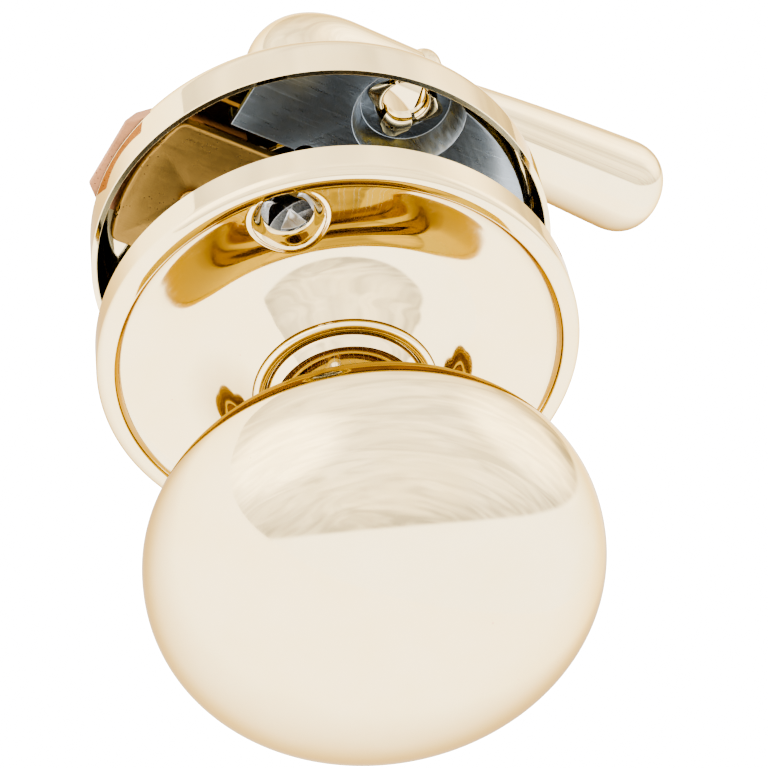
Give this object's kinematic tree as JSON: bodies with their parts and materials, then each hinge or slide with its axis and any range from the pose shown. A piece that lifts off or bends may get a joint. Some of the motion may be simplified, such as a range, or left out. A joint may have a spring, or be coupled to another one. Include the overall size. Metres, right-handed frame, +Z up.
{
  "type": "screen door knob latch",
  "caption": "Surface-mounted screen door latch with a round outer knob on a dished rose, an inner latch case and an L-shaped inner lever on one square spindle.",
  "frame": {"origin": "on the spindle's axis, in the plane where the latch case meets the inner face of the door", "axes": "+Y along the spindle into the room, -X the way the bolt points, +Z up the door"},
  "size_m": [0.1009, 0.1359, 0.062],
  "materials": {
    "polished_brass": "bright polished brass plate, clear lacquered",
    "raw_brass": "dull unpolished brass with small dark specks",
    "galvanised": "galvanised steel sheet, finely scratched",
    "steel": "zinc-plated steel",
    "spring_steel": "spring steel, oiled",
    "bronze": "sintered bronze",
    "nylon": "natural nylon"
  },
  "bodies": {
    "case": {"latch_case": "polished_brass", "retaining_plate": "galvanised", "case_boss": "polished_brass", "boss_bushing": "bronze", "spring_bracket": "galvanised", "bracket_rivets": "steel", "spring_guides": "steel", "bolt_springs": "spring_steel"},
    "bolt": {"latch_slide": "raw_brass", "bolt_nose": "raw_brass", "nose_rivet": "raw_brass"},
    "lever": {"hub_cam": "steel", "lever_shank": "steel", "shank_clip": "spring_steel", "thrust_washer": "nylon", "lever_elbow": "polished_brass", "lever_set_screw": "steel", "lever_collar": "polished_brass", "lever_grip": "polished_brass"},
    "rose_carrier": {"rose_washer": "nylon"},
    "rose": {"outer_rose": "polished_brass", "rose_backplate": "galvanised"},
    "knob": {"knob_shell": "polished_brass", "knob_back": "polished_brass", "knob_core": "steel", "spindle": "steel", "spindle_pin": "steel", "neck_clip": "spring_steel"}
  },
  "joints": [
    {"name": "lever_turn", "type": "hinge", "parent": "case", "child": "lever", "pos_m": [0, 0.02, 0], "axis": [0, 1, 0], "range_deg": [0, 35], "stiffness_Nm_per_rad": 0.4, "springref_deg": -17.19},
    {"name": "bolt_slide", "type": "slide", "parent": "case", "child": "bolt", "axis": [1, 0, 0], "range_m": [0, 0.006], "deforming": ["bolt_springs"]},
    {"name": "door_thickness", "type": "slide", "parent": "case", "child": "rose_carrier", "axis": [0, -1, 0], "range_m": [0, 0.019]},
    {"name": "rose_swivel", "type": "hinge", "parent": "rose_carrier", "child": "rose", "pos_m": [0, -0.02, 0], "axis": [0, 1, 0], "continuous": true},
    {"name": "knob_turn", "type": "hinge", "parent": "rose_carrier", "child": "knob", "pos_m": [0, -0.02, 0], "axis": [0, 1, 0], "range_deg": [0, 35.01]}
  ],
  "couplings": [
    {"joint": "bolt_slide", "follows": "lever_turn", "m_per_rad": 0.00982},
    {"joint": "knob_turn", "follows": "lever_turn", "ratio": 1}
  ]
}
